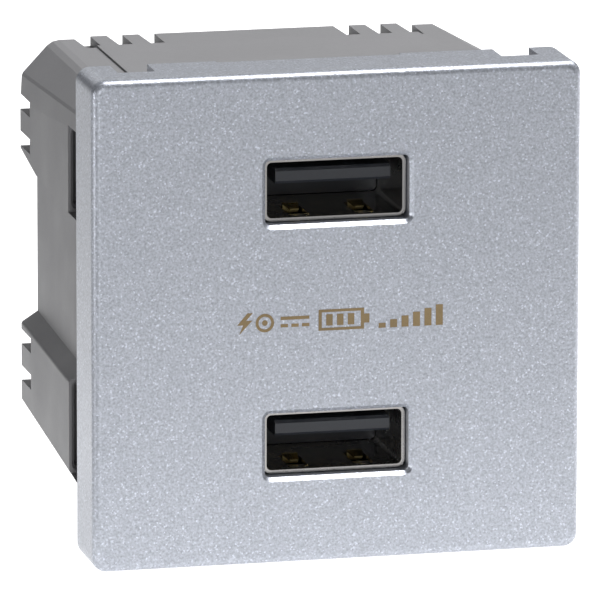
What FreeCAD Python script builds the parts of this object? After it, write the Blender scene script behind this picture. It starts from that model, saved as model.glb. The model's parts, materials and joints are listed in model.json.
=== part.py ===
"""Double USB charging module, 45 x 45 mm, for a wall-plate support frame.

Axes: +X to the right, +Y into the wall, +Z up.
Origin: centre of the module, on the plane where the rim's rear face meets the support frame.
The inside is a small mains supply: a front board with two USB sockets, a rear board with the
transformer and its parts, and a terminal block with rising cage clamps worked by two screws.
"""
import FreeCAD, Part
import Sketcher
import os
import re

DIMENSIONS = [
    # front
    ("module_side", 45.0, "width and height of the front"),
    ("cover_depth", 3.6, "front cover, front to back"),
    ("rim_depth", 3.4, "carrier rim, front to back"),
    ("cover_wall", 1.6, "front wall of the cover"),
    ("skirt_wall", 1.3, "side walls of the cover and of the rim"),
    ("edge_round", 0.75, "round along the front edges"),
    ("corner_round", 1.3, "round of the four corners, seen from the front"),
    ("notch_inner", 15.97, "rim notch, inner side from the middle"),
    ("notch_outer", 19.36, "rim notch, outer side from the middle"),
    ("rim_web", 1.2, "front web of the carrier rim"),
    ("lip_recess", 0.6, "how far the middle of the top rim stands back"),
    # USB sockets
    ("port_pitch", 23.2, "between the middles of the two sockets"),
    ("port_width", 13.3, "opening in the cover"),
    ("port_height", 5.9, "opening in the cover"),
    ("port_bevel", 0.35, "bevel round the opening"),
    ("shell_width", 13.1, "steel shell, outside"),
    ("shell_height", 5.7, "steel shell, outside"),
    ("shell_sheet", 0.3, "steel sheet"),
    ("shell_length", 12.95, "steel shell, front to back"),
    ("shell_set_back", 1.4, "shell behind the front face"),
    ("window_place", 3.0, "spring windows, from the middle of the shell"),
    ("window_radius", 0.92, "round end and half width of a spring window"),
    ("spring_width", 1.4, "ground spring, at its root"),
    ("spring_tip_width", 0.8, "ground spring, at its free end"),
    ("spring_rise", 0.35, "ground spring above the floor of the shell"),
    ("tongue_width", 10.6, "plastic tongue"),
    ("tongue_thick", 1.4, "plastic tongue"),
    ("tongue_raise", 1.12, "tongue above the middle of the shell"),
    ("contact_pitch", 2.3, "between neighbouring contacts"),
    ("contact_width", 1.0, "gold strip"),
    ("contact_thick", 0.2, "gold strip"),
    # housing
    ("body_depth", 25.5, "housing behind the rim"),
    ("block_side", 22.35, "outer faces of the side blocks, from the middle"),
    ("recess_side", 20.8, "side faces between the blocks, from the middle"),
    ("body_bottom", 20.4, "flat underside, below the middle"),
    ("top_front", 20.75, "top face beside the rim, above the middle"),
    ("top_rear", 20.25, "top face at the rear, above the middle"),
    ("top_step", 0.2, "raised middle of the top face"),
    ("side_lean", 0.06, "sideways slope of the upper sides, for each unit of height"),
    ("steep_corner", 1.065, "slope of the left corner face"),
    ("low_corner", 1.4, "slope of the lower corner faces"),
    ("shallow_corner", 0.555, "slope of the right corner face"),
    ("cavity_side", 19.1, "half width of the inside"),
    ("cavity_top", 18.7, "half height of the inside"),
    ("corner_cut", 3.2, "slanted corners of the inside"),
    ("insert_length", 1.2, "part of the housing that sits inside the rim"),
    ("slot_width", 1.5, "rear slots in the top edge"),
    ("slot_length", 5.0, "rear slots in the top edge"),
    ("slot_deep", 0.9, "rear slots in the top edge"),
    ("slot_pitch", 3.02, "between neighbouring rear slots"),
    ("side_notch", 1.4, "height of the rear notches in the blocks"),
    ("side_notch_length", 4.3, "length of the rear notches in the blocks"),
    ("claw_depth", 4.2, "claw pocket, rim to block"),
    ("claw_reach", 2.1, "claw pocket, into the side"),
    ("claw_low", 8.0, "claw pocket, lower end of the upper pair"),
    ("claw_high", 16.4, "claw pocket, upper end of the upper pair"),
    ("claw_round", 0.9, "rounded ends of the claw pockets"),
    # rear cover and boards
    ("rear_plate", 1.8, "rear cover plate"),
    ("rear_inset", 0.6, "rear cover inside the housing's rear edge"),
    ("fit_gap", 0.1, "clearance round plates inside the housing"),
    ("usb_board_y", 7.4, "front face of the USB board"),
    ("usb_board_thick", 1.0, "USB board"),
    ("main_board_y", 20.2, "front face of the main board"),
    ("main_board_thick", 1.2, "main board"),
    ("bobbin_depth", 8.4, "transformer bobbin, front to back"),
    ("board_notch", 9.4, "half width of the main board's notch"),
    ("board_notch_top", -6.8, "top of the main board's notch"),
    # terminals
    ("pole_x", 4.5, "terminal screws, from the middle"),
    ("screw_y", 18.1, "axis of the terminal screws"),
    ("terminal_low", -18.55, "underside of the terminal block"),
    ("screw_shank", 1.45, "radius over the M3 thread"),
    ("thread_hole", 1.5, "radius of the threaded hole in the cage"),
    ("head_radius", 2.4, "screw head"),
    ("head_height", 1.8, "screw head"),
    ("head_top", -16.45, "upper face of the screw head"),
    ("screw_tip", -12.3, "upper end of the screw"),
    ("access_radius", 2.0, "screwdriver hole in the underside"),
    ("cage_width", 5.4, "cage clamp"),
    ("cage_length", 5.0, "cage clamp, along the wire"),
    ("cage_low", -13.5, "underside of the open cage"),
    ("cage_height", 5.4, "cage clamp"),
    ("cage_nut", 1.4, "threaded plate of the cage"),
    ("cage_sheet", 0.5, "side walls of the cage"),
    ("cage_roof", 0.8, "upper plate of the cage"),
    ("cage_travel", 2.0, "four turns of the screw"),
    ("bar_low", -12.0, "underside of the bus bar"),
    ("bar_thick", 0.8, "bus bar"),
    ("wire_z", -10.05, "axis of the wire entries"),
    ("wire_radius", 1.7, "wire entry in the rear cover"),
    ("print_thick", 0.03, "print on the front face"),
]
ROUNDED_TOP = ((-0.69, 0), (-0.06, -0.13), (0.47, -0.5))
ROUNDED_SHOULDER = ((-0.12, 0.13), (0.01, -0.18))
CONTACTS = (-1.5, -0.5, 0.5, 1.5)
HEADER_PINS = (-3.0, -1.0, 1.0, 3.0)
HEADER_X = 16.0
PORTS = (("upper", 1), ("lower", -1))
POLES = (("line", -1), ("neutral", 1))

os.makedirs("parts", exist_ok=True)
doc = FreeCAD.newDocument("usb_wall_charger")
dims = doc.addObject("Spreadsheet::Sheet", "Dims")
for row, (alias, value, note) in enumerate(DIMENSIONS, start=1):
    dims.set(f"A{row}", note)
    dims.set(f"B{row}", str(value))
    dims.setAlias(f"B{row}", alias)
doc.recompute()
nodes = []


def formula(text):
    """An expression on the sheet; every word of the sheet has an underscore in it."""
    return re.sub(r"\b([a-z]+(?:_[a-z]+)+)\b", r"Dims.\1", str(text))


def number(text):
    """The value of an expression on the sheet."""
    return float(dims.evalExpression(formula(text)))


def bind(thing, **sizes):
    for name, text in sizes.items():
        thing.setExpression(name, formula(text))


def minus(text):
    return f"-1 * ({text})"


def between(side, inner, outer):
    """Two distances from the middle, on the side given by a sign, in rising order."""
    near, far = f"{side} * ({inner})", f"{side} * ({outer})"
    return (near, far) if side > 0 else (far, near)


def edges_where(shape, test):
    """Names of the edges whose bounding box passes the test."""
    return [f"Edge{i}" for i, edge in enumerate(shape.Edges, start=1) if test(edge.BoundBox)]


def along(box, axis, length=None):
    """True for a box of a straight edge that runs along the axis."""
    spans = {"X": box.XLength, "Y": box.YLength, "Z": box.ZLength}
    run = spans.pop(axis)
    return max(spans.values()) < 1e-4 and run > 1e-3 and (length is None or abs(run - length) < 0.01)


class Moulding:
    """A PartDesign body made of pads, lofts and pockets on its own origin planes."""

    normal = {"XY": 1, "XZ": -1, "YZ": 1}

    def __init__(self, label):
        self.body = doc.addObject("PartDesign::Body", label)
        self.body.Label = label
        self.count = 0
        nodes.append(self.body)

    def sketch(self, plane, at, shapes):
        """Rectangles, circles and polygons on a plane at a distance from the origin."""
        self.count += 1
        sketch = self.body.newObject("Sketcher::SketchObject", f"{self.body.Name}_sketch_{self.count}")
        support = next(f for f in self.body.Origin.OriginFeatures if f.Role == plane + "_Plane")
        sketch.AttachmentSupport = [(support, "")]
        sketch.MapMode = "FlatFace"
        bind(sketch, **{"AttachmentOffset.Base.z": at if self.normal[plane] > 0 else minus(at)})
        for kind, *values in shapes:
            if kind == "circle":
                draw_circle(sketch, *values)
            elif kind == "rect":
                x0, x1, y0, y1 = values
                draw_polygon(sketch, [(x0, y0), (x1, y0), (x1, y1), (x0, y1)])
            else:
                draw_polygon(sketch, values[0])
        return sketch

    def pad(self, plane, at, length, *shapes, towards=1):
        sketch = self.sketch(plane, at, shapes)
        return self.feature("Pad", sketch, length, towards * self.normal[plane] < 0)

    def pocket(self, plane, at, length, *shapes, towards=1):
        sketch = self.sketch(plane, at, shapes)
        before = self.body.Shape.Volume
        feature = self.feature("Pocket", sketch, length, towards * self.normal[plane] > 0)
        if self.body.Shape.Volume > before - 1e-4:
            raise RuntimeError(f"{feature.Name} cuts nothing")
        return feature

    def feature(self, kind, sketch, length, reverse):
        feature = self.body.newObject(f"PartDesign::{kind}", f"{self.body.Name}_{kind.lower()}_{self.count}")
        feature.Profile = sketch
        feature.Reversed = reverse
        bind(feature, Length=length)
        doc.recompute()
        return feature

    def loft(self, kind, plane, *sections):
        """Ruled loft through sections, each a (distance, corners) pair."""
        sketches = [self.sketch(plane, at, [("polygon", corners)]) for at, corners in sections]
        loft = self.body.newObject(f"PartDesign::{kind}Loft", f"{self.body.Name}_loft_{self.count}")
        loft.Profile = sketches[0]
        loft.Sections = [(sketch, "") for sketch in sketches[1:]]
        loft.Ruled = True
        doc.recompute()
        return loft

    def dress(self, kind, size, test):
        """Fillet or Chamfer on the edges that pass the test."""
        tip = self.body.Tip
        names = edges_where(tip.Shape, test)
        if not names:
            raise RuntimeError(f"no edges to {kind.lower()} on {self.body.Name}")
        self.count += 1
        feature = self.body.newObject(f"PartDesign::{kind}", f"{self.body.Name}_{kind.lower()}_{self.count}")
        feature.Base = (tip, names)
        bind(feature, **{"Radius" if kind == "Fillet" else "Size": size})
        doc.recompute()
        return feature


def pin_point(sketch, index, position, x, y):
    """Ties a point of the sketch to a place given by two expressions."""
    for kind, text in (("DistanceX", x), ("DistanceY", y)):
        place = Sketcher.Constraint(kind, -1, 1, index, position, number(text))
        bind(sketch, **{f"Constraints[{sketch.addConstraint(place)}]": text})


def draw_polygon(sketch, corners):
    spots = [FreeCAD.Vector(number(x), number(y), 0) for x, y in corners]
    first = sketch.GeometryCount
    for start, end in zip(spots, spots[1:] + spots[:1]):
        sketch.addGeometry(Part.LineSegment(start, end))
    for side, (x, y) in enumerate(corners):
        following = first + (side + 1) % len(corners)
        sketch.addConstraint(Sketcher.Constraint("Coincident", first + side, 2, following, 1))
        pin_point(sketch, first + side, 1, x, y)


def draw_circle(sketch, x, y, radius):
    centre = FreeCAD.Vector(number(x), number(y), 0)
    circle = Part.Circle(centre, FreeCAD.Vector(0, 0, 1), number(radius))
    index = sketch.addGeometry(circle)
    pin_point(sketch, index, 3, x, y)
    size = sketch.addConstraint(Sketcher.Constraint("Radius", index, number(radius)))
    bind(sketch, **{f"Constraints[{size}]": radius})


def block(name, x, y, z):
    """A Part box from three (low, high) pairs of expressions."""
    solid = doc.addObject("Part::Box", name)
    for axis, size, (low, high) in zip("xyz", ("Length", "Width", "Height"), (x, y, z)):
        bind(solid, **{size: f"({high}) - ({low})", f"Placement.Base.{axis}": low})
    return solid


def rod(name, x, y, z, radius, length, axis="Z"):
    """A Part cylinder that starts at a point and runs along +Z or +Y."""
    solid = doc.addObject("Part::Cylinder", name)
    if axis == "Y":
        solid.Placement.Rotation = FreeCAD.Rotation(FreeCAD.Vector(1, 0, 0), -90)
    bind(solid, Radius=radius, Height=length)
    bind(solid, **{"Placement.Base.x": x, "Placement.Base.y": y, "Placement.Base.z": z})
    return solid


def rounded(solid, radius, test):
    """A Part fillet on the edges that pass the test."""
    doc.recompute()
    fillet = doc.addObject("Part::Fillet", solid.Name + "_rounded")
    fillet.Base = solid
    names = edges_where(solid.Shape, test)
    fillet.Edges = [(int(name[4:]), radius, radius) for name in names]
    return fillet


def fuse(name, *solids):
    """One solid out of several that touch."""
    union = doc.addObject("Part::MultiFuse", name)
    union.Shapes = list(solids)
    union.Refine = True
    return union


def cut(name, base, *tools):
    if len(tools) > 1:
        tools = [fuse(name + "_tools", *tools)]
    result = doc.addObject("Part::Cut", name)
    result.Base = base
    result.Tool = tools[0]
    return result


def keep(solid, label):
    solid.Label = label
    nodes.append(solid)
    return solid


def group(label, *solids):
    """Separate solids that share one node."""
    together = doc.addObject("Part::Compound", label)
    together.Links = list(solids)
    return keep(together, label)


def square(half):
    """A square about the middle, as a sketch shape."""
    return ("rect", minus(half), half, minus(half), half)


def port_window(sign, width, height):
    """A rectangle about the middle of one USB socket."""
    middle = f"{sign} * port_pitch / 2"
    return ("rect", minus(f"({width}) / 2"), f"({width}) / 2",
            f"{middle} - ({height}) / 2", f"{middle} + ({height}) / 2")


def front_cover():
    """Painted front: a shallow tray, open to the rear, with two bevelled USB openings."""
    front = "-cover_depth - rim_depth"
    part = Moulding("front_cover")
    part.pad("XZ", front, "cover_depth", square("module_side / 2"))
    part.dress("Fillet", "corner_round", lambda box: along(box, "Y"))
    face = number(front)
    part.dress("Fillet", "edge_round", lambda box: box.YMax < face + 1e-3)
    part.pocket("XZ", "-rim_depth", "cover_depth - cover_wall", square("module_side / 2 - skirt_wall"),
                towards=-1)
    for _, sign in PORTS:
        collar = port_window(sign, "port_width + 1.6", "port_height + 1.6")
        part.pad("XZ", f"{front} + cover_wall", "1.2", collar)
        part.pocket("XZ", front, "cover_depth", port_window(sign, "port_width", "port_height"))
    half_width = number("port_width / 2")
    part.dress("Fillet", 0.5, lambda box: along(box, "Y") and abs(abs(box.Center.x) - half_width) < 1e-3)
    part.dress("Chamfer", "port_bevel",
               lambda box: box.YMax < face + 1e-3 and max(abs(box.XMin), abs(box.XMax)) < half_width + 0.01)


def carrier_frame():
    """Painted rim behind the cover: a square ring with a front web that holds the sockets."""
    part = Moulding("carrier_frame")
    part.pad("XZ", "-rim_depth", "rim_depth", square("module_side / 2"))
    part.dress("Fillet", "corner_round", lambda box: along(box, "Y"))
    part.pocket("XZ", "0", "rim_depth - rim_web", square("block_side - skirt_wall + 0.25"), towards=-1)
    width, height = "shell_width + 2 * fit_gap", "shell_height + 2 * fit_gap"
    part.pocket("XZ", "-rim_depth", "rim_web", *[port_window(sign, width, height) for _, sign in PORTS])
    notches = [("rect", *between(side, "notch_inner", "notch_outer"), "-rim_depth", "0.1")
               for side in (-1, 1)]
    lip = ("rect", "-9.7", "7.3", "-lip_recess", "0.1")
    part.pocket("XY", "module_side / 2", "skirt_wall + 0.1", *notches, lip, towards=-1)


def corner(side, top, shoulder, crease, slope, flat_ease=((0, 0),), shoulder_ease=((0, 0),)):
    """One upper corner of the housing's outline: the ends of the slanted face and the crease under it."""
    flat = f"({top} - top_step)"
    shoulder_x = f"(block_side - side_lean * ({shoulder} - {crease}))"
    flat_x = f"({shoulder_x} - ({flat} - {shoulder}) / {slope})"
    points = [(f"{side} * ({flat_x} + {out})", f"{flat} + {up}") for out, up in flat_ease]
    points += [(f"{side} * ({shoulder_x} + {out})", f"{shoulder} + {up}") for out, up in shoulder_ease]
    return points + [(f"{side} * block_side", crease)]


def body_section(top, shoulder, crease, step_flare, low_crease):
    """Outline of the housing across its depth, from the top's left end clockwise."""
    flat = f"{top} - top_step"
    left_step, right_step = f"-16.05 - {step_flare}", f"14.1 + {step_flare}"
    raised = [(left_step, flat), (left_step, top), (right_step, top), (right_step, flat)]
    left = corner(-1, top, shoulder, crease, "steep_corner", ROUNDED_TOP, ROUNDED_SHOULDER)
    right = corner(1, top, shoulder, crease, "shallow_corner")
    low_flat = f"block_side - (body_bottom - {low_crease}) / low_corner"
    low = [("block_side", minus(low_crease)), (low_flat, "-body_bottom"), (minus(low_flat), "-body_bottom"),
           (minus("block_side"), minus(low_crease))]
    return left[:1] + raised + right + low + left[:0:-1]


def housing():
    """Moulded case: slanted corners, side blocks with rear notches, claw pockets, rear slots."""
    part = Moulding("housing")
    part.loft("Additive", "XZ",
              ("0", body_section("top_front", "18.15", "16.63", "0.5", "16.0")),
              ("body_depth", body_section("top_rear", "17.05", "14.45", "0", "13.7")))
    part.pad("XZ", "-insert_length", "insert_length", square("block_side - skirt_wall + 0.15"))
    side_recesses(part)
    claw_pockets(part)
    rear_slots(part)
    part.pocket("XZ", "-insert_length", "insert_length + body_depth", inner_plate("0"))
    access = [("circle", f"{sign} * pole_x", "screw_y", "access_radius") for _, sign in POLES]
    part.pocket("XY", "-body_bottom", "body_bottom - cavity_top", *access)
    board_rails(part)


def recess_section(side, high, low):
    """The sunk flat between the blocks, and the slanted top of the lower block under it."""
    beyond, floor = f"{side} * (block_side + 1)", f"{side} * recess_side"
    return [(beyond, high), (floor, high), (floor, low), (f"{side} * block_side", f"{low} - 1.0"),
            (beyond, f"{low} - 1.65")]


def side_recesses(part):
    """The sunk flat on each side, the lower block's rounded edge, the upper block's slanted rear tip."""
    for side in (-1, 1):
        part.loft("Subtractive", "XZ", ("0", recess_section(side, "claw_low", "-6.5")),
                  ("body_depth", recess_section(side, "claw_low + 1.2", "-5.4")))
    depth, face = number("body_depth"), number("block_side")
    part.dress("Fillet", 0.4, lambda box: box.YLength > depth - 1 and abs(abs(box.Center.x) - face) < 1e-3
               and -8 < box.ZMin < -6)
    tip = [("17.5", "claw_low + 0.7"), ("body_depth + 0.1", "claw_low + 0.7"), ("body_depth + 0.1", "10.1")]
    for side in (-1, 1):
        part.pocket("YZ", f"{side} * (block_side + 1)", "block_side + 1 - recess_side", ("polygon", tip),
                    towards=-side)


def claw_pockets(part):
    """Pockets behind the rim where the support frame's claws snap in, and the blocks' hollow fronts."""
    for side in (-1, 1):
        for low, high in (("claw_low + 0.35", "claw_high"), ("-claw_high + 0.5", "-claw_low + 1.0")):
            part.pocket("YZ", f"{side} * (block_side + 0.5)", "claw_reach + 0.5",
                        ("rect", "0", "claw_depth", low, high), towards=-side)
            for inset, start, reach in (("0.25", "claw_depth", "0.5"), ("0.55", "claw_depth + 0.5", "2.1")):
                span = between(side, "block_side - claw_reach", f"block_side - {inset}")
                part.pocket("XZ", start, reach, ("rect", *span, f"{low} + {inset}", f"{high} - {inset}"))
    for inset, length in (("0.25", "0.5"), ("0.55", "2.1")):
        outer, run = number(f"block_side - {inset}"), number(length)
        part.dress("Fillet", f"claw_round - {inset}",
                   lambda box: along(box, "Y", run) and abs(abs(box.Center.x) - outer) < 1e-3)


def rear_slots(part):
    """Slots in the rear edge of the top, and notches in the rear edges of the side blocks."""
    start, end = "body_depth - slot_length", "body_depth + 0.1"
    for middle in (-13.46, 11.07):
        for step in (-1, 0, 1):
            x = f"{middle} + {step} * slot_pitch"
            outline = [(f"{x} - slot_width / 2", end), (f"{x} - slot_width / 2 + 0.1", start),
                       (f"{x} + slot_width / 2 - 0.1", start), (f"{x} + slot_width / 2", end)]
            part.pocket("XY", "top_front + 0.1", "top_front - top_rear + 0.1 + slot_deep",
                        ("polygon", outline), towards=-1)
    notches = [("rect", "body_depth - side_notch_length", end, low, f"{low} + side_notch")
               for low in ("13.75", "10.3", "-8.45", "-11.9")]
    for side in (-1, 1):
        part.pocket("YZ", f"{side} * (block_side + 0.1)", "block_side + 0.1 - recess_side", *notches,
                    towards=-side)


def board_rails(part):
    """Rails on the side walls that carry the edges of the two boards."""
    for face in ("usb_board_y + usb_board_thick", "main_board_y - 1.5"):
        for side in (-1, 1):
            span = between(side, "cavity_side - 1.4", "cavity_side + 0.1")
            part.pad("XZ", face, "1.5", ("rect", *span, "-11", "-4"), ("rect", *span, "6", "13"))


def inner_plate(gap):
    """The inside outline less a gap, as a sketch shape."""
    side, top = f"(cavity_side - {gap})", f"(cavity_top - {gap})"
    signs = ((-1, -1, 0), (-1, -1, 1), (1, -1, 1), (1, -1, 0), (1, 1, 0), (1, 1, 1), (-1, 1, 1), (-1, 1, 0))
    return ("polygon", [(f"{sx} * ({side} - {flat} * corner_cut)",
                         f"{sz} * ({top} - {1 - flat} * corner_cut)") for sx, sz, flat in signs])


def rear_cover():
    """Plate inside the rear edge, with two funnelled wire entries and a stiffening rim."""
    rear = "body_depth - rear_inset"
    part = Moulding("rear_cover")
    part.pad("XZ", f"{rear} - rear_plate", "rear_plate", inner_plate("fit_gap"))
    part.pad("XZ", rear, "0.5", ("rect", "-9.5", "9.5", "-15", "-5.5"))
    entries = [("circle", f"{sign} * pole_x", "wire_z", "wire_radius") for _, sign in POLES]
    part.pocket("XZ", f"{rear} - rear_plate", "rear_plate + 0.5", *entries)
    for row in range(4):
        low = f"{2.0 + 3.0 * row}"
        part.pocket("XZ", rear, "0.5", ("rect", "-12", "12", low, f"{low} + 1.2"), towards=-1)


def usb_shell(name, sign):
    """Folded steel shell with round-ended windows in its floor and roof, and four solder legs."""
    front = "-cover_depth - rim_depth + shell_set_back"
    middle = f"{sign} * port_pitch / 2"
    part = Moulding(f"{name}_usb_shell")
    part.pad("XZ", front, "shell_length", port_window(sign, "shell_width", "shell_height"))
    part.dress("Fillet", 0.75, lambda box: along(box, "Y"))
    part.pocket("XZ", front, "shell_length",
                port_window(sign, "shell_width - 2 * shell_sheet", "shell_height - 2 * shell_sheet"))
    inner = number("shell_width / 2 - shell_sheet")
    part.dress("Fillet", 0.45, lambda box: along(box, "Y") and abs(abs(box.Center.x) - inner) < 1e-3)
    end = f"{front} + 0.5 + window_radius"
    spots = [f"{side} * window_place" for side in (-1, 1)]
    for edge in (-1, 1):
        surface = f"{middle} + {edge} * shell_height / 2"
        part.pocket("XY", surface, "shell_sheet", towards=-edge,
                    *[("circle", x, end, "window_radius") for x in spots])
        part.pocket("XY", surface, "shell_sheet", towards=-edge,
                    *[("rect", f"{x} - window_radius", f"{x} + window_radius", end, f"{front} + 5.6")
                      for x in spots])
    seam = ("rect", "-0.04", "0.04", front, f"{front} + shell_length")
    part.pocket("XY", f"{middle} - shell_height / 2", "shell_sheet / 2", seam)
    legs = [("rect", *between(side, "shell_width / 2 - shell_sheet", "shell_width / 2"),
             f"{middle} + {low}", f"{middle} + {low} + 1.0") for side in (-1, 1) for low in ("-1.9", "0.9")]
    part.pad("XZ", f"{front} + shell_length", "2.2", *legs)


def usb_insulator(name, sign):
    """Plastic base that fills the rear of the shell, with the tongue that carries the contacts."""
    front = "-cover_depth - rim_depth + shell_set_back"
    middle = f"{sign} * port_pitch / 2"
    tongue = f"{middle} + tongue_raise"
    base = "usb_board_y - 3.2"
    part = Moulding(f"{name}_usb_insulator")
    inside = port_window(sign, "shell_width - 2 * shell_sheet - 0.1", "shell_height - 2 * shell_sheet - 0.1")
    part.pad("XZ", base, "3.1", inside)
    part.dress("Fillet", 0.45, lambda box: along(box, "Y"))
    part.pad("XZ", f"{front} + 0.7", f"{base} - ({front} + 0.7)",
             ("rect", "-tongue_width / 2", "tongue_width / 2",
              f"{tongue} - tongue_thick / 2", f"{tongue} + tongue_thick / 2"))
    face = number(f"{front} + 0.7")
    part.dress("Chamfer", 0.25, lambda box: box.YMax < face + 1e-3 and box.XLength > 5)
    half = "contact_width / 2 + 0.03"
    slots = [("rect", f"{place} * contact_pitch - ({half})", f"{place} * contact_pitch + {half}",
              f"{tongue} - tongue_thick / 2 - 0.1", f"{tongue} - tongue_thick / 2 + 0.13")
             for place in CONTACTS]
    part.pocket("XZ", f"{front} + 1.6", "usb_board_y + 7", *slots)


def ground_spring(label, x, front, floor):
    """A gold spring that comes up through a window of the shell's floor, tapering to its free end."""
    half = "spring_width / 2"
    finger = doc.addObject("Part::Wedge", label + "_finger")
    bind(finger, Xmin=f"{x} - spring_tip_width / 2", Xmax=f"{x} + spring_tip_width / 2",
         X2min=f"{x} - {half}", X2max=f"{x} + {half}", Ymin=f"{front} + 3.0", Ymax=f"{front} + 4.6",
         Zmin=floor, Zmax=f"{floor} + 0.15", Z2min=f"{floor} + spring_rise - 0.15",
         Z2max=f"{floor} + spring_rise")
    wide = (f"{x} - {half}", f"{x} + {half}")
    under = f"{floor} - shell_sheet"
    root = block(label + "_root", wide, (f"{front} + 4.6", f"{front} + 5.0"),
                 (f"{under} - 0.25", f"{floor} + spring_rise"))
    strap = block(label + "_strap", wide, (f"{front} + 4.6", f"{front} + 8.6"), (f"{under} - 0.25", under))
    return fuse(label, finger, root, strap)


def usb_contacts(name, sign):
    """Four gold strips under the tongue, each with a bump and a pin, and the two ground springs."""
    front = "-cover_depth - rim_depth + shell_set_back"
    middle = f"{sign} * port_pitch / 2"
    under = f"{middle} + tongue_raise - tongue_thick / 2"
    strips = []
    for order, place in enumerate(CONTACTS):
        x = f"{place} * contact_pitch"
        label = f"{name}_contact_{order}"
        strip = block(label + "_strip", (f"{x} - contact_width / 2", f"{x} + contact_width / 2"),
                      (f"{front} + 1.65", "usb_board_y - 0.15"),
                      (f"{under} - contact_thick / 2", f"{under} + 0.1"))
        bump = rod(label + "_bump", x, f"{front} + 3.2", f"{under} - contact_thick", "0.35", "contact_thick")
        pin = block(label + "_pin", (f"{x} - 0.3", f"{x} + 0.3"), ("usb_board_y - 0.2", "usb_board_y + 1.9"),
                    (f"{under} - 0.1", f"{under} + 0.1"))
        strips.append(fuse(label, strip, bump, pin))
    floor = f"({middle} - shell_height / 2 + shell_sheet)"
    for side in (-1, 1):
        strips.append(ground_spring(f"{name}_spring_{side + 1}", f"{side} * window_place", front, floor))
    group(f"{name}_usb_contacts", *strips)


def usb_board():
    """Front board, with slots for the shells' legs and holes for the pins."""
    part = Moulding("usb_board")
    part.pad("XZ", "usb_board_y", "usb_board_thick", ("rect", "-17.6", "17.6", "-17.2", "17.2"))
    part.dress("Fillet", 1.0, lambda box: along(box, "Y"))
    holes = [("circle", f"{HEADER_X}", f"{z}", "0.45") for z in HEADER_PINS]
    for _, sign in PORTS:
        middle = f"{sign} * port_pitch / 2"
        for side in (-1, 1):
            x = f"{side} * (shell_width / 2 - shell_sheet / 2)"
            for low in ("-1.9", "0.9"):
                holes.append(("rect", f"{x} - 0.3", f"{x} + 0.3", f"{middle} + {low} - 0.15",
                              f"{middle} + {low} + 1.15"))
        pin_z = f"{middle} + tongue_raise - tongue_thick / 2"
        holes += [("circle", f"{place} * contact_pitch", pin_z, "0.4") for place in CONTACTS]
    part.pocket("XZ", "usb_board_y", "usb_board_thick", *holes)


def header_row(label, low, high):
    """Square prisms at the places of the header's pins."""
    wide = (f"{HEADER_X} - 0.3", f"{HEADER_X} + 0.3")
    return [block(f"{label}_{order}", wide, (low, high), (f"{z} - 0.3", f"{z} + 0.3"))
            for order, z in enumerate(HEADER_PINS)]


def board_pins():
    """Pin header that joins the two boards through the insulating sheet."""
    base = block("pin_header_base", (f"{HEADER_X} - 1.1", f"{HEADER_X} + 1.1"),
                 ("main_board_y - 1.6", "main_board_y"), ("-4.1", "4.1"))
    bores = header_row("header_bore", "main_board_y - 2", "main_board_y + 1")
    group("board_pins", *header_row("header_pin", "usb_board_y - 0.6", "main_board_y + 1.8"))
    keep(cut("pin_header", base, *bores), "pin_header")


def insulating_sheet():
    """Clear sheet that keeps the mains side away from the USB board."""
    part = Moulding("insulating_sheet")
    face = "usb_board_y + usb_board_thick + 2.2"
    part.pad("XZ", face, "0.25", ("rect", "-17.0", "17.0", "-16.9", "16.9"))
    part.pocket("XZ", face, "0.25", ("rect", f"{HEADER_X} - 0.8", f"{HEADER_X} + 0.8", "-3.8", "3.8"))


def main_board():
    """Rear board, notched round the terminal block, with holes for the pins and the bus bars."""
    part = Moulding("main_board")
    part.pad("XZ", "main_board_y", "main_board_thick", inner_plate("0.3"))
    holes = [("circle", f"{HEADER_X}", f"{z}", "0.45") for z in HEADER_PINS]
    holes += [("rect", f"{sign} * pole_x - 1.15", f"{sign} * pole_x + 1.15", "-6.3", "-5.3")
              for _, sign in POLES]
    notch = ("rect", "-board_notch", "board_notch", "-cavity_top - 1", "board_notch_top")
    part.pocket("XZ", "main_board_y", "main_board_thick", notch, *holes)


def transformer():
    """Two E cores round a bobbin, its winding and its tape, on the front of the main board."""
    y0, y1 = "main_board_y - 0.8 - bobbin_depth", "main_board_y - 0.8"
    halves = []
    for order, (low, high, back_span) in enumerate((("1.6", "7.98", ("1.6", "3.4")),
                                                    ("8.02", "14.4", ("12.6", "14.4")))):
        back = block(f"core_back_{order}", ("-6.5", "6.5"), (f"{y0} + 1.6", f"{y1} - 1.6"), back_span)
        legs = [block(f"core_leg_{order}_{i}", span, (f"{y0} + 1.6", f"{y1} - 1.6"), (low, high))
                for i, span in enumerate((("-6.5", "-5.0"), ("-1.6", "1.6"), ("5.0", "6.5")))]
        halves.append(fuse(f"core_half_{order}", back, *legs))
    group("transformer_core", *halves)
    bobbin = Moulding("transformer_bobbin")
    bobbin.pad("XY", "3.5", "9.0", ("rect", "-2.3", "2.3", f"{y0} + 0.9", f"{y1} - 0.9"))
    for low in ("3.5", "11.7"):
        bobbin.pad("XY", low, "0.8", ("rect", "-4.8", "4.8", y0, y1))
    bobbin.pocket("XY", "3.5", "9.0", ("rect", "-1.7", "1.7", f"{y0} + 1.5", f"{y1} - 1.5"))
    winding = Moulding("transformer_winding")
    winding.pad("XY", "4.4", "7.2", ("rect", "-4.0", "4.0", f"{y0} + 0.35", f"{y1} - 0.35"))
    winding.dress("Fillet", 1.2, lambda box: along(box, "Z"))
    winding.pocket("XY", "4.4", "7.2", ("rect", "-2.35", "2.35", f"{y0} + 0.85", f"{y1} - 0.85"))
    tape = Moulding("transformer_tape")
    tape.pad("XZ", f"{y0} + 0.1", "bobbin_depth - 0.2", ("rect", "-4.7", "4.7", "5.2", "10.8"))
    tape.dress("Fillet", 0.4, lambda box: along(box, "Z"))
    tape.pocket("XY", "5.2", "5.6", ("rect", "-4.05", "4.05", f"{y0} + 0.3", f"{y1} - 0.3"))


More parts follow.
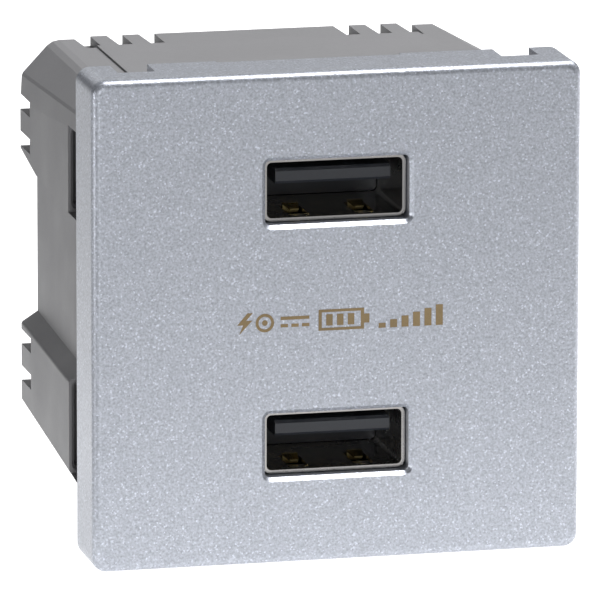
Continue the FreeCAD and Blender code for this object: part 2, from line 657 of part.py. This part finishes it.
def can_capacitor(label, places, radius, height):
    """Aluminium can capacitors that stand on the main board, with a rolled groove and two leads."""
    cans = []
    for order, (x, z) in enumerate(places):
        name = f"{label}_{order}"
        can = rod(name + "_can", x, f"main_board_y - 0.3 - {height}", z, radius, height, "Y")
        can = rounded(can, 0.5, lambda box: True)
        groove = doc.addObject("Part::Torus", name + "_groove")
        groove.Placement.Rotation = FreeCAD.Rotation(FreeCAD.Vector(1, 0, 0), -90)
        bind(groove, Radius1=f"{radius} + 0.15", Radius2="0.4")
        bind(groove, **{"Placement.Base.x": x, "Placement.Base.y": "main_board_y - 2.1",
                        "Placement.Base.z": z})
        cans.append(cut(name, can, groove))
    group(label, *cans)


def disc(label, x, z, radius, thick):
    """A dipped disc that stands on the main board on edge."""
    body = rod(label + "_disc", x, f"main_board_y - {radius} - 1.0", f"{z} - {thick} / 2", radius, thick)
    keep(rounded(body, 0.9, lambda box: True), label)


def chip(label, x, y, z, legs=0, leg_span=0.0):
    """A moulded package with legs along two sides, given by (low, high) pairs."""
    body = rounded(block(label + "_body", x, y, z), 0.12, lambda box: along(box, "Y"))
    if not legs:
        return keep(body, label)
    feet = []
    pitch = f"(({z[1]}) - ({z[0]})) / {legs}"
    half_height = f"(({y[0]}) + ({y[1]})) / 2"
    for order in range(legs):
        middle = f"({z[0]}) + {pitch} * ({order} + 0.5)"
        for end in (-1, 1):
            centre = f"(({x[0]}) + ({x[1]})) / 2 + {end} * {leg_span}"
            feet.append(block(f"{label}_leg_{order}_{end + 1}", (f"{centre} - 0.55", f"{centre} + 0.55"),
                              (f"{half_height} - 0.1", f"{half_height} + 0.1"),
                              (f"{middle} - 0.2", f"{middle} + 0.2")))
    return keep(fuse(label, body, *feet), label)


def small_parts():
    """The chips and discrete parts of both boards."""
    can_capacitor("input_capacitors", (("-12.6", "11.8"), ("-12.6", "2.9")), "4.0", "8.9")
    can_capacitor("output_capacitors", (("12.3", "12.6"),), "3.15", "8.6")
    disc("varistor", "-13.5", "-5.4", "3.5", "3.0")
    disc("suppression_capacitor", "11.4", "7.1", "3.2", "2.4")
    fuse_body = rod("input_fuse_body", "-13.6", "main_board_y - 7.2", "-11.6", "3.0", "6.9", "Y")
    keep(rounded(fuse_body, 0.4, lambda box: True), "input_fuse")
    choke_x, choke_z = "13.4", "-9.6"
    choke = rod("input_choke_core", choke_x, "main_board_y - 7.6", choke_z, "2.0", "7.0", "Y")
    flanges = [rod(f"input_choke_flange_{i}", choke_x, f"main_board_y - {low}", choke_z, "3.3", "1.0", "Y")
               for i, low in enumerate((7.6, 1.6))]
    keep(fuse("input_choke", choke, *flanges), "input_choke")
    coil = rod("choke_coil_outer", choke_x, "main_board_y - 6.55", choke_z, "3.0", "4.9", "Y")
    bore = rod("choke_coil_bore", choke_x, "main_board_y - 7", choke_z, "2.05", "6", "Y")
    keep(cut("choke_coil", coil, bore), "choke_coil")
    face = "main_board_y"
    chip("bridge_rectifier", ("-8.6", "-2.6"), (f"{face} - 2.7", f"{face} - 0.1"), ("-4.8", "-0.2"), 2, 3.3)
    chip("optocoupler", ("2.2", "7.2"), (f"{face} - 3.4", f"{face} - 0.1"), ("-4.9", "-0.4"), 2, 2.9)
    rear = "main_board_y + main_board_thick"
    chip("controller_chip", ("-2.0", "2.0"), (f"{rear} + 0.1", f"{rear} + 1.45"), ("2", "7"), 4, 2.4)
    chip("output_diode", ("8", "11.5"), (f"{rear} + 0.1", f"{rear} + 1.45"), ("8", "12"), 1, 2.1)
    usb_rear = "usb_board_y + usb_board_thick"
    chip("charge_controller", ("-2", "2"), (f"{usb_rear} + 0.1", f"{usb_rear} + 1.5"),
         ("-2.5", "2.5"), 4, 2.4)
    places = ((-9, 3), (-9, 0), (-9, -3), (9, 2), (9, -2))
    group("filter_capacitors", *[block(f"filter_capacitor_{order}", (f"{x} - 1.0", f"{x} + 1.0"),
                                       (usb_rear, f"{usb_rear} + 1.25"), (f"{z} - 0.62", f"{z} + 0.62"))
                                 for order, (x, z) in enumerate(places)])


def terminal_block():
    """Moulded block with a cavity for each cage, wire funnels at the rear and screw pockets below."""
    rear = "body_depth - rear_inset - rear_plate - fit_gap"
    part = Moulding("terminal_block")
    part.pad("XY", "terminal_low", "11.35", ("rect", "-9.0", "9.0", "14.3", rear))
    part.dress("Fillet", 0.4, lambda box: along(box, "Z"))
    for _, sign in POLES:
        x = f"{sign} * pole_x"
        cavity = ("rect", f"{x} - cage_width / 2 - fit_gap", f"{x} + cage_width / 2 + fit_gap",
                  "screw_y - cage_length / 2 - fit_gap", "screw_y + cage_length / 2 + fit_gap")
        part.pocket("XY", "cage_low - cage_travel - fit_gap",
                    "cage_height + cage_travel + 2 * fit_gap", cavity)
        part.pocket("XY", "terminal_low", "head_top + 0.05 - terminal_low",
                    ("circle", x, "screw_y", "head_radius + 0.2"))
        part.pocket("XY", "terminal_low", "4", ("circle", x, "screw_y", "screw_shank + 0.15"))
        part.pocket("XZ", "screw_y", "8", ("circle", x, "wire_z", "wire_radius + 0.25"))
        slot = ("rect", f"{x} - 1.85", f"{x} + 1.85", "bar_low - 0.05", "bar_low + bar_thick + 0.05")
        for direction in (1, -1):
            part.pocket("XZ", "screw_y", "4.4", slot, towards=direction)


def bus_bar(name, x):
    """Tinned strip that the wire is clamped on, with an arm soldered into the main board."""
    wide = (f"{x} - 1.8", f"{x} + 1.8")
    arm_width = (f"{x} - 1.0", f"{x} + 1.0")
    flat = block(f"{name}_bar_flat", wide, ("13.3", "screw_y + 4.3"), ("bar_low", "bar_low + bar_thick"))
    riser = block(f"{name}_bar_riser", wide, ("13.3", "14.1"), ("bar_low", "-5.4"))
    arm = block(f"{name}_bar_arm", arm_width, ("13.3", "main_board_y + main_board_thick + 0.9"),
                ("-6.2", "-5.4"))
    keep(fuse(f"{name}_bus_bar", flat, riser, arm), f"{name}_bus_bar")


def cage(name, x):
    """Box clamp bent from strip, with a threaded plate below and the roof that lifts the wire."""
    part = Moulding(f"{name}_cage")
    part.pad("XY", "cage_low", "cage_height", ("rect", f"{x} - cage_width / 2", f"{x} + cage_width / 2",
                                              "screw_y - cage_length / 2", "screw_y + cage_length / 2"))
    part.dress("Fillet", 0.5, lambda box: along(box, "Y"))
    part.pocket("XZ", "screw_y - cage_length / 2", "cage_length",
                ("rect", f"{x} - cage_width / 2 + cage_sheet", f"{x} + cage_width / 2 - cage_sheet",
                 "cage_low + cage_nut", "cage_low + cage_height - cage_roof"))
    part.pocket("XY", "cage_low", "cage_nut", ("circle", x, "screw_y", "thread_hole"))


def terminal_screw(name, x):
    """Captive screw with a combined slot and cross in its head."""
    head_low = "head_top - head_height"
    part = Moulding(f"{name}_terminal_screw")
    part.pad("XY", head_low, "head_height", ("circle", x, "screw_y", "head_radius"))
    part.dress("Fillet", 0.35, lambda box: box.ZMax < number(head_low) + 1e-3)
    part.pad("XY", "head_top", "screw_tip - head_top", ("circle", x, "screw_y", "screw_shank"))
    part.dress("Chamfer", 0.35, lambda box: box.ZMin > number("screw_tip") - 1e-3)
    part.pocket("XY", head_low, "1.0", ("rect", f"{x} - 1.9", f"{x} + 1.9", "screw_y - 0.3", "screw_y + 0.3"))
    part.pocket("XY", head_low, "1.1", ("rect", f"{x} - 0.3", f"{x} + 0.3", "screw_y - 1.1", "screw_y + 1.1"))


def mark(label, x_span, z_span):
    """One flat printed bar on the front face, from (low, high) pairs of numbers."""
    face = "-cover_depth - rim_depth"
    return block(label, [str(x) for x in x_span], (f"{face} - print_thick", face), [str(z) for z in z_span])


def lightning_bolt():
    """A printed bolt; its outline is a zigzag with no size of its own on the sheet."""
    outline = [(-8.35, 0.77), (-9.3, -0.32), (-8.75, -0.32), (-9.1, -1.17), (-7.9, 0.08), (-8.5, 0.08),
               (-7.85, 0.77)]
    face = number("-cover_depth - rim_depth")
    points = [FreeCAD.Vector(x, face, z) for x, z in outline]
    wire = Part.makePolygon(points + points[:1])
    bolt = doc.addObject("Part::Feature", "lightning_bolt")
    bolt.Shape = Part.Face(wire).extrude(FreeCAD.Vector(0, -number("print_thick"), 0))
    return bolt


def port_ring():
    """A printed ring with a dot in it."""
    face = "-cover_depth - rim_depth"
    discs = [rod(f"ring_{order}", "-6.75", f"{face} - {reach}", "-0.2", radius, f"2 * {reach}", "Y")
             for order, (radius, reach) in enumerate((("0.85", "print_thick"), ("0.58", "1")))]
    discs[0].setExpression("Height", formula("print_thick"))
    dot = rod("ring_dot", "-6.75", f"{face} - print_thick", "-0.2", "0.26", "print_thick", "Y")
    return [cut("port_ring", *discs), dot]


def printed_marks():
    """Bronze print between the sockets: bolt, ring, direct-current sign, battery and gauge."""
    parts = [lightning_bolt(), *port_ring(), mark("direct_bar", (-5.3, -2.65), (0.0, 0.3))]
    parts += [mark(f"direct_dash_{order}", (x, x + 0.68), (-0.68, -0.38))
              for order, x in enumerate((-5.3, -4.31, -3.33))]
    parts += [mark(f"charge_bar_{order}", (x, x + 0.6), (-0.72, 0.32))
              for order, x in enumerate((-1.1, -0.1, 0.9))]
    parts += [mark(f"gauge_bar_{order}", (3.75 + 1.06 * order, 4.4 + 1.06 * order),
                   (-1.17, -0.72 + 0.29 * order))
              for order in range(6)]
    outer = mark("battery_outer", (-1.8, 2.4), (-1.17, 0.77))
    inner = block("battery_inner", ("-1.5", "2.1"), ("-8", "-6"), ("-0.92", "0.52"))
    knob = mark("battery_knob", (2.4, 2.9), (-0.62, 0.22))
    parts.append(fuse("battery_outline", cut("battery_frame", outer, inner), knob))
    group("printed_marks", *parts)


def build():
    front_cover()
    carrier_frame()
    housing()
    rear_cover()
    for name, sign in PORTS:
        usb_shell(name, sign)
        usb_insulator(name, sign)
        usb_contacts(name, sign)
    usb_board()
    board_pins()
    insulating_sheet()
    main_board()
    transformer()
    small_parts()
    terminal_block()
    for name, sign in POLES:
        x = f"{sign} * pole_x"
        bus_bar(name, x)
        cage(name, x)
        terminal_screw(name, x)
    printed_marks()


def check_and_export():
    """Every object recomputed and sound, then one file for each node."""
    doc.recompute()
    for item in doc.Objects:
        if "Invalid" in item.State or "Error" in item.State:
            raise RuntimeError(f"{item.Name} failed: {item.State}")
    for node in nodes:
        if node.Shape.isNull() or not node.Shape.isValid() or not node.Shape.Solids:
            raise RuntimeError(f"{node.Label} has no sound shape")
        node.Shape.exportStep(f"parts/{node.Label}.step")
    print(len(nodes), "nodes")


build()
check_and_export()
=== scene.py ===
"""Looks for the double USB wall charging module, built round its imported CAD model."""
import bpy
import json
import math
from mathutils import Matrix, Vector


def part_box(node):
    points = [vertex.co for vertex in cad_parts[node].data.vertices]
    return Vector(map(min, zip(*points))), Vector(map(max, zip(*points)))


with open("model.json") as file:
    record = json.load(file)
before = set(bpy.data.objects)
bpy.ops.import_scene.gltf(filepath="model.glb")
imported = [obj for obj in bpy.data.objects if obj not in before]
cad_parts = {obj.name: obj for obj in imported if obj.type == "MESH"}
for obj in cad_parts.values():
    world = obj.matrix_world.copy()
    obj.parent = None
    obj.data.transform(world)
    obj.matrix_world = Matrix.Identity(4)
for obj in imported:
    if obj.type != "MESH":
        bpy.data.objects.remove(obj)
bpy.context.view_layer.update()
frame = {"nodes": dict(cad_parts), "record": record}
nodes = frame["nodes"]

CAMERA_PLACE = (-0.19013, -0.79387, 0.18113)
CAMERA_TURN = (-13.342, -12.506, -0.095)  # yaw, pitch and roll in degrees
LENS_MM = 554.5
SILVER = (0.435, 0.457, 0.51)
BODY_GREY = (0.245, 0.243, 0.252)
FLAKE = 0.00014
CLOUD = 0.006  # patches of uneven colour and gloss on moulded surfaces
TABLE_HALF = 6.0
TABLE_GLOW = 1.15
# Left of and in front of the module: the axis, the dimmed glow, where it starts to dim, where it has.
TABLE_FADES = (("X", 0.4, 0.026, 0.06), ("Y", 0.42, 0.015, 0.12))
SKY = 0.09
SKY_COLOUR = (0.93, 0.95, 1, 1)
# Name, place, width and height, watts.
LAMPS = (("key", (0.3, 0.08, 0.45), (0.35, 0.35), 1.5),
         ("edge_light", (0.12, -0.1, 0.5), (0.2, 0.08), 1.9),
         ("left_card", (-0.3, -0.08, -0.005), (0.05, 0.02), 0.1),
         ("front_card", (-0.1, -0.6, 0.05), (0.1, 0.1), 0.4),
         ("back_card", (0.1, 0.75, 0.35), (0.9, 0.3), 0.75))


def place_camera():
    """Camera of a long lens, left of the module and above it."""
    yaw, pitch, roll = (math.radians(angle) for angle in CAMERA_TURN)
    turn = Matrix.Rotation(yaw, 3, "Z") @ Matrix.Rotation(pitch, 3, "X") @ Matrix.Rotation(roll, 3, "Y")
    right, forward, up = turn.col
    camera = bpy.data.objects.new("camera", bpy.data.cameras.new("camera"))
    camera.data.sensor_width = 36.0
    camera.data.lens = LENS_MM
    camera.data.clip_start = 0.01
    axes = Matrix((right, up, -forward)).transposed().to_4x4()
    camera.matrix_world = Matrix.Translation(Vector(CAMERA_PLACE)) @ axes
    bpy.context.scene.collection.objects.link(camera)
    bpy.context.scene.camera = camera


def soft_light(name, place, size, power):
    """A rectangular area light that faces the module."""
    lamp = bpy.data.lights.new(name, "AREA")
    lamp.shape = "RECTANGLE"
    lamp.size, lamp.size_y = size
    lamp.energy = power
    holder = bpy.data.objects.new(name, lamp)
    holder.location = place
    holder.rotation_euler = (-Vector(place)).to_track_quat("-Z", "Y").to_euler()
    bpy.context.scene.collection.objects.link(holder)


def studio():
    """Pale glowing table, dimmer to the left and in front; lights above, behind, in front and left."""
    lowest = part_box("front_cover")[0].z
    half = TABLE_HALF
    corners = [(-half, -half, lowest), (half, -half, lowest), (half, half, lowest), (-half, half, lowest)]
    mesh = bpy.data.meshes.new("floor")
    mesh.from_pydata(corners, [], [(0, 1, 2, 3)])
    floor = bpy.data.objects.new("floor", mesh)
    bpy.context.scene.collection.objects.link(floor)
    white = Shader("floor_white", (0.4, 0.4, 0.4), 0.9, **{"Emission Color": (1, 1, 1, 1)})
    place = white.add("ShaderNodeSeparateXYZ", {"Vector": white.space})
    fades = [white.scaled(place.outputs[axis], dim, TABLE_GLOW, -far, -near)
             for axis, dim, near, far in TABLE_FADES]
    glow = white.add("ShaderNodeMath", {0: fades[0], 1: fades[1]}, {"operation": "MINIMUM"})
    white.feed("Emission Strength", glow.outputs["Value"])
    mesh.materials.append(white.material)
    for name, place, size, power in LAMPS:
        soft_light(name, place, size, power)
    world = bpy.data.worlds.new("world")
    bpy.context.scene.world = world
    world.use_nodes = True
    sky = world.node_tree.nodes["Background"]
    sky.inputs["Color"].default_value = SKY_COLOUR
    sky.inputs["Strength"].default_value = SKY
    bpy.context.scene.view_settings.view_transform = "Standard"


class Shader:
    """A Principled material and the node chains that feed it; textures are sized in metres."""

    def __init__(self, name, colour, roughness, **sockets):
        self.material = bpy.data.materials.new(name)
        self.material.use_nodes = True
        self.tree = self.material.node_tree
        self.main = self.tree.nodes["Principled BSDF"]
        self.set(self.main, **{"Base Color": (*colour, 1), "Roughness": roughness, **sockets})
        self.space = self.tree.nodes.new("ShaderNodeTexCoord").outputs["Object"]

    @staticmethod
    def set(node, **values):
        for name, value in values.items():
            node.inputs[name].default_value = value

    def add(self, kind, links=None, settings=None, **values):
        """A node with its properties, its fixed inputs and the sockets that feed it."""
        node = self.tree.nodes.new(kind)
        for name, value in (settings or {}).items():
            setattr(node, name, value)
        self.set(node, **values)
        for name, source in (links or {}).items():
            self.tree.links.new(source, node.inputs[name])
        return node

    def feed(self, name, source):
        """Links a socket to one of the material's own inputs."""
        self.tree.links.new(source, self.main.inputs[name])

    def stretched(self, stretch):
        """The surface's place, drawn out along some axes, for brushed and wound looks."""
        mapping = self.add("ShaderNodeMapping", {"Vector": self.space})
        mapping.inputs["Scale"].default_value = stretch
        return mapping.outputs["Vector"]

    def noise(self, size, detail=3.0, space=None):
        """Noise whose largest patches are about the given size in metres."""
        return self.add("ShaderNodeTexNoise", {"Vector": space or self.space}, Scale=1 / size, Detail=detail,
                        Roughness=0.55).outputs["Fac"]

    def scaled(self, source, low, high, from_low=0.3, from_high=0.7):
        """A value moved to a new range; noise seldom leaves 0.3 to 0.7."""
        ranges = {"From Min": from_low, "From Max": from_high, "To Min": low, "To Max": high}
        return self.add("ShaderNodeMapRange", {"Value": source}, **ranges).outputs["Result"]

    def blend(self, amount, first, second):
        """Colour that goes from one value or socket to another."""
        node = self.add("ShaderNodeMix", {0: amount}, {"data_type": "RGBA"})
        for index, colour in ((6, first), (7, second)):
            if isinstance(colour, tuple):
                node.inputs[index].default_value = (*colour, 1)
            else:
                self.tree.links.new(colour, node.inputs[index])
        return node.outputs[2]

    def bump(self, height, depth):
        """Relief of the surface, its depth in metres."""
        node = self.add("ShaderNodeBump", {"Height": height}, Strength=1.0, Distance=depth)
        self.feed("Normal", node.outputs["Normal"])


def shade(colour, factor):
    """The colour made lighter or darker, at most 1 in each part."""
    return tuple(min(1.0, part * factor) for part in colour)


def moulded(name, colour, roughness, grain=0.0002, depth=0.00001, spread=0.12, stretch=None, **sockets):
    """Moulded, cast or drawn surface: soft mottling, uneven gloss and a fine grain.

    grain is the size of the grain and depth its height; spread is how far the colour strays.
    """
    skin = Shader(name, colour, roughness, **sockets)
    space = skin.stretched(stretch) if stretch else skin.space
    cloud = skin.noise(CLOUD, 4.0)
    fine = skin.noise(grain, 2.0, space)
    base = skin.blend(skin.scaled(cloud, 0, 1), shade(colour, 1 - spread), shade(colour, 1 + spread))
    speck = skin.scaled(fine, 0, 0.5, 0.52, 0.75)
    skin.feed("Base Color", skin.blend(speck, base, shade(colour, 1 - 2 * spread)))
    skin.feed("Roughness", skin.scaled(cloud, roughness - 0.07, roughness + 0.07))
    skin.bump(fine, depth)
    return skin


def silver_paint(name):
    """Metallic lacquer: flakes of uneven tilt and gloss under a thin clear coat; a few flakes are painted
    brighter as painted glints.
    """
    skin = Shader(name, SILVER, 0.36, **{"Metallic": 0.72, "Coat Weight": 0.2, "Coat Roughness": 0.15})
    flake = skin.add("ShaderNodeTexVoronoi", {"Vector": skin.space}, Scale=1 / FLAKE, Randomness=1.0)
    tint = skin.add("ShaderNodeSeparateColor", {"Color": flake.outputs["Color"]})
    grain = skin.noise(0.00022, 3.0)
    base = skin.blend(skin.scaled(grain, 0, 1), shade(SILVER, 0.76), shade(SILVER, 1.24))
    # Painted glints: a few flakes get a much lighter colour in place of the sparkle of flakes catching the
    # light.
    painted_glint = skin.scaled(tint.outputs["Red"], 0, 0.6, 0.9, 1.0)
    skin.feed("Base Color", skin.blend(painted_glint, base, shade(SILVER, 1.9)))
    skin.feed("Roughness", skin.scaled(tint.outputs["Green"], 0.32, 0.44, 0.0, 1.0))
    uneven = skin.add("ShaderNodeMath", {0: tint.outputs["Blue"], 1: grain}, {"operation": "ADD"})
    skin.bump(uneven.outputs["Value"], 0.000016)
    return skin


def board_laminate(name):
    """Green solder mask over copper runs, with the glass weave showing faintly."""
    green = (0.02, 0.12, 0.05)
    skin = Shader(name, green, 0.35, **{"Coat Weight": 0.4, "Coat Roughness": 0.15})
    runs = skin.add("ShaderNodeTexBrick", {"Vector": skin.stretched((260, 1, 260))}, **{
        "Mortar Size": 0.05, "Color1": (*green, 1), "Color2": (*shade(green, 1.25), 1),
        "Mortar": (*shade(green, 0.6), 1), "Scale": 1.0})
    weave = skin.add("ShaderNodeTexWave", {"Vector": skin.space}, {"bands_direction": "DIAGONAL"},
                     Scale=900.0, Distortion=1.0)
    skin.feed("Base Color", skin.blend(skin.scaled(weave.outputs["Fac"], 0, 0.25, 0, 1),
                                       runs.outputs["Color"], shade(green, 1.8)))
    skin.bump(runs.outputs["Fac"], 0.00003)
    return skin


def wound(name, colour, axis, pitch, roughness, **sockets):
    """Turns of wire or tape laid side by side along an axis, a pitch apart, with painted shade in the grooves
    between turns.
    """
    skin = Shader(name, colour, roughness, **sockets)
    turns_and_groove_shade = skin.add("ShaderNodeTexWave", {"Vector": skin.space}, {"bands_direction": axis},
                     Scale=0.314 / pitch, Distortion=0.4, Detail=1.0)
    # Painted shade: each turn darker in its grooves and lighter on its crown, following the relief of the
    # turns.
    skin.feed("Base Color", skin.blend(turns_and_groove_shade.outputs["Fac"], shade(colour, 0.45), shade(colour, 1.15)))
    skin.feed("Roughness", skin.scaled(skin.noise(0.002), roughness - 0.06, roughness + 0.08))
    skin.bump(turns_and_groove_shade.outputs["Fac"], pitch / 3)
    return skin


def finishes():
    """One material for each slot of the record."""
    metal = {"Metallic": 1.0}
    coat = {"Coat Weight": 0.6, "Coat Roughness": 0.12}
    brushed = (1, 0.06, 1)
    return {
        "silver_paint": silver_paint("silver_paint"),
        "grey_plastic": moulded("grey_plastic", BODY_GREY, 0.5, 0.0003, 0.000012, 0.05),
        "rear_plastic": moulded("rear_plastic", shade(BODY_GREY, 0.8), 0.52, 0.0003, 0.00002, 0.06),
        "steel_sheet": moulded("steel_sheet", (0.4, 0.39, 0.38), 0.26, 0.0001, 0.000003, 0.1, brushed,
                               **metal),
        "black_plastic": moulded("black_plastic", (0.022, 0.025, 0.032), 0.38, 0.0002, 0.000008, 0.15),
        "gold": moulded("gold", (1.0, 0.76, 0.33), 0.25, 0.0001, 0.000002, 0.08, brushed, **metal),
        "board_laminate": board_laminate("board_laminate"),
        "tinned_metal": moulded("tinned_metal", (0.66, 0.66, 0.64), 0.33, 0.0004, 0.000008, 0.12, **metal),
        "clear_sheet": moulded("clear_sheet", (0.72, 0.74, 0.72), 0.3, 0.003, 0.00005, 0.04),
        "ferrite": moulded("ferrite", (0.045, 0.043, 0.045), 0.62, 0.00025, 0.00002, 0.25),
        "copper_wire": wound("copper_wire", (0.72, 0.28, 0.12), "Z", 0.0003, 0.28, **metal),
        "yellow_tape": wound("yellow_tape", (0.75, 0.52, 0.06), "Z", 0.004, 0.3, **coat),
        "capacitor_sleeve": wound("capacitor_sleeve", (0.03, 0.035, 0.05), "X", 0.003, 0.3, **coat),
        "blue_epoxy": moulded("blue_epoxy", (0.03, 0.11, 0.36), 0.28, 0.0012, 0.00008, 0.15, **coat),
        "brown_plastic": moulded("brown_plastic", (0.12, 0.045, 0.02), 0.4, 0.0003, 0.00001, 0.12),
        "chip_plastic": moulded("chip_plastic", (0.025, 0.025, 0.027), 0.55, 0.00012, 0.000012, 0.2),
        "ceramic": moulded("ceramic", (0.42, 0.29, 0.17), 0.4, 0.0002, 0.000006, 0.15),
        "terminal_plastic": moulded("terminal_plastic", (0.5, 0.52, 0.5), 0.45, 0.0003, 0.000012, 0.06),
        "zinc_steel": moulded("zinc_steel", (0.6, 0.61, 0.64), 0.3, 0.0002, 0.000006, 0.14, brushed, **metal),
        "bronze_ink": moulded("bronze_ink", (0.25, 0.18, 0.09), 0.45, 0.00012, 0.000004, 0.16,
                              **{"Metallic": 0.35}),
    }


def paint(node, skin):
    """Gives a CAD node one material in place of its own."""
    mesh = nodes[node].data
    mesh.materials.clear()
    mesh.materials.append(skin.material)


place_camera()
studio()
skins = finishes()
for part in frame["record"]["subparts"]:
    paint(part["node"], skins[part["material_slot"]])
